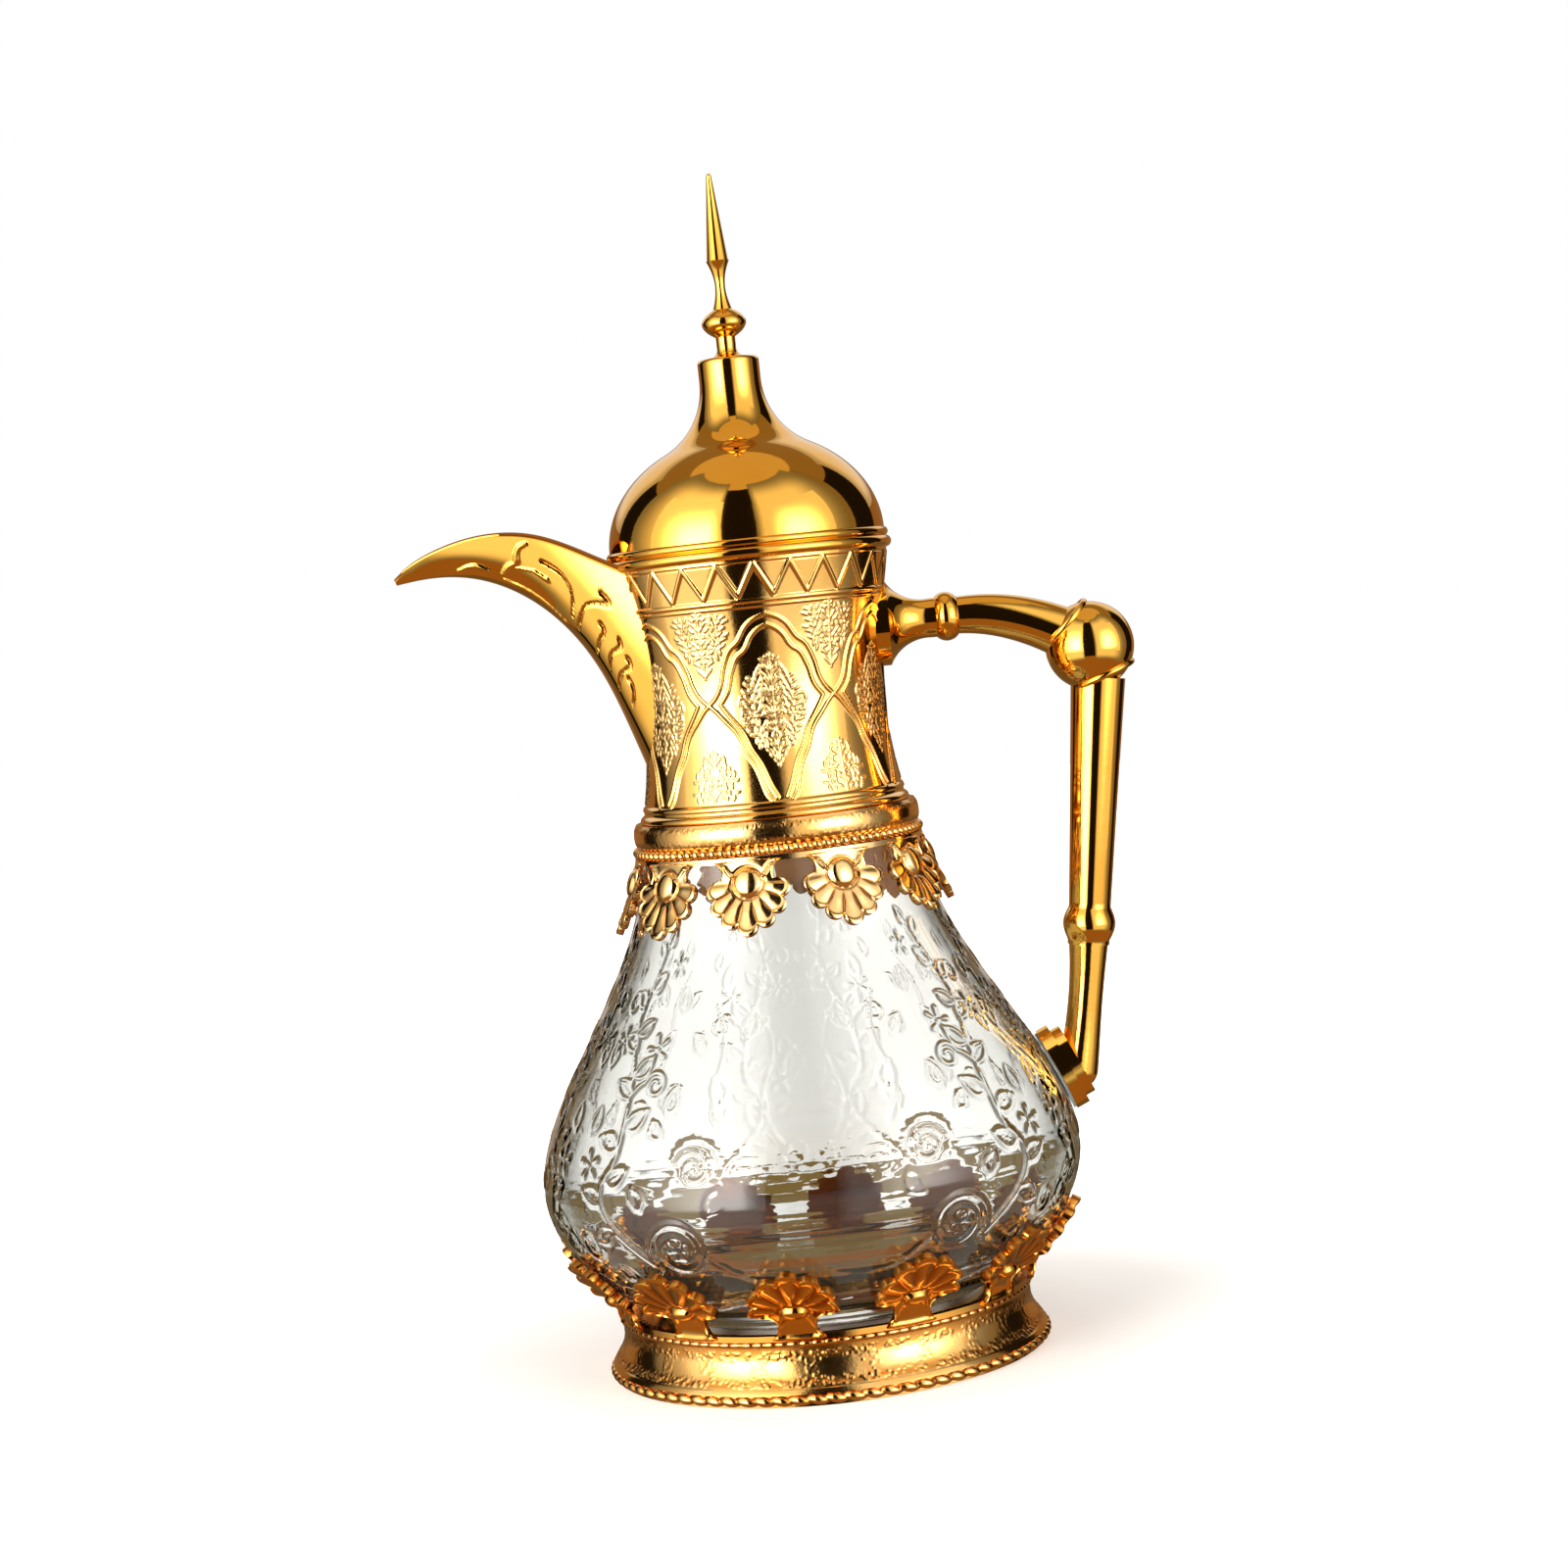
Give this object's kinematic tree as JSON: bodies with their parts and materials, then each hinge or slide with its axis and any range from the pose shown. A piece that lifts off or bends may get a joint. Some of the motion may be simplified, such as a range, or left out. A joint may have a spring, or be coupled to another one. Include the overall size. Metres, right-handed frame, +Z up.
{
  "type": "dallah coffee pot",
  "caption": "Glass-bodied dallah coffee pot with gilt foot, pierced palmette galleries, waisted neck, beak spout, loop handle and a lift-off ogee lid.",
  "frame": {"origin": "centre of the foot ring on the surface that the pot stands on", "axes": "+Z up along the pot's axis, the spout points to -X and the handle to +X"},
  "size_m": [0.197, 0.1468, 0.3207],
  "materials": {
    "gilt_metal": "polished gilding",
    "clear_glass": "clear, moulded relief",
    "soft_seal": "matt translucent",
    "steel": "plain"
  },
  "bodies": {
    "pot": {"glass_carafe": "clear_glass", "foot_ring": "gilt_metal", "foot_rope": "gilt_metal", "foot_gallery": "gilt_metal", "glass_seat": "soft_seal", "shoulder_gallery": "gilt_metal", "shoulder_rope": "gilt_metal", "neck_band": "gilt_metal", "neck_seal": "soft_seal", "neck_sleeve": "gilt_metal", "mouth_ring": "gilt_metal", "spout": "gilt_metal", "handle_bracket": "gilt_metal", "bracket_screw": "steel", "screw_seal": "soft_seal", "handle_arm": "gilt_metal", "handle_elbow": "gilt_metal", "handle_grip": "gilt_metal", "handle_ferrule": "gilt_metal", "handle_leg": "gilt_metal", "handle_pad": "soft_seal"},
    "lid": {"lid_dome": "gilt_metal", "lid_collar": "gilt_metal", "finial": "gilt_metal", "finial_nut": "steel"}
  },
  "joints": [
    {"name": "lid_lift", "type": "slide", "parent": "pot", "child": "lid", "axis": [0, 0, 1], "range_m": [0, 0.06]}
  ]
}
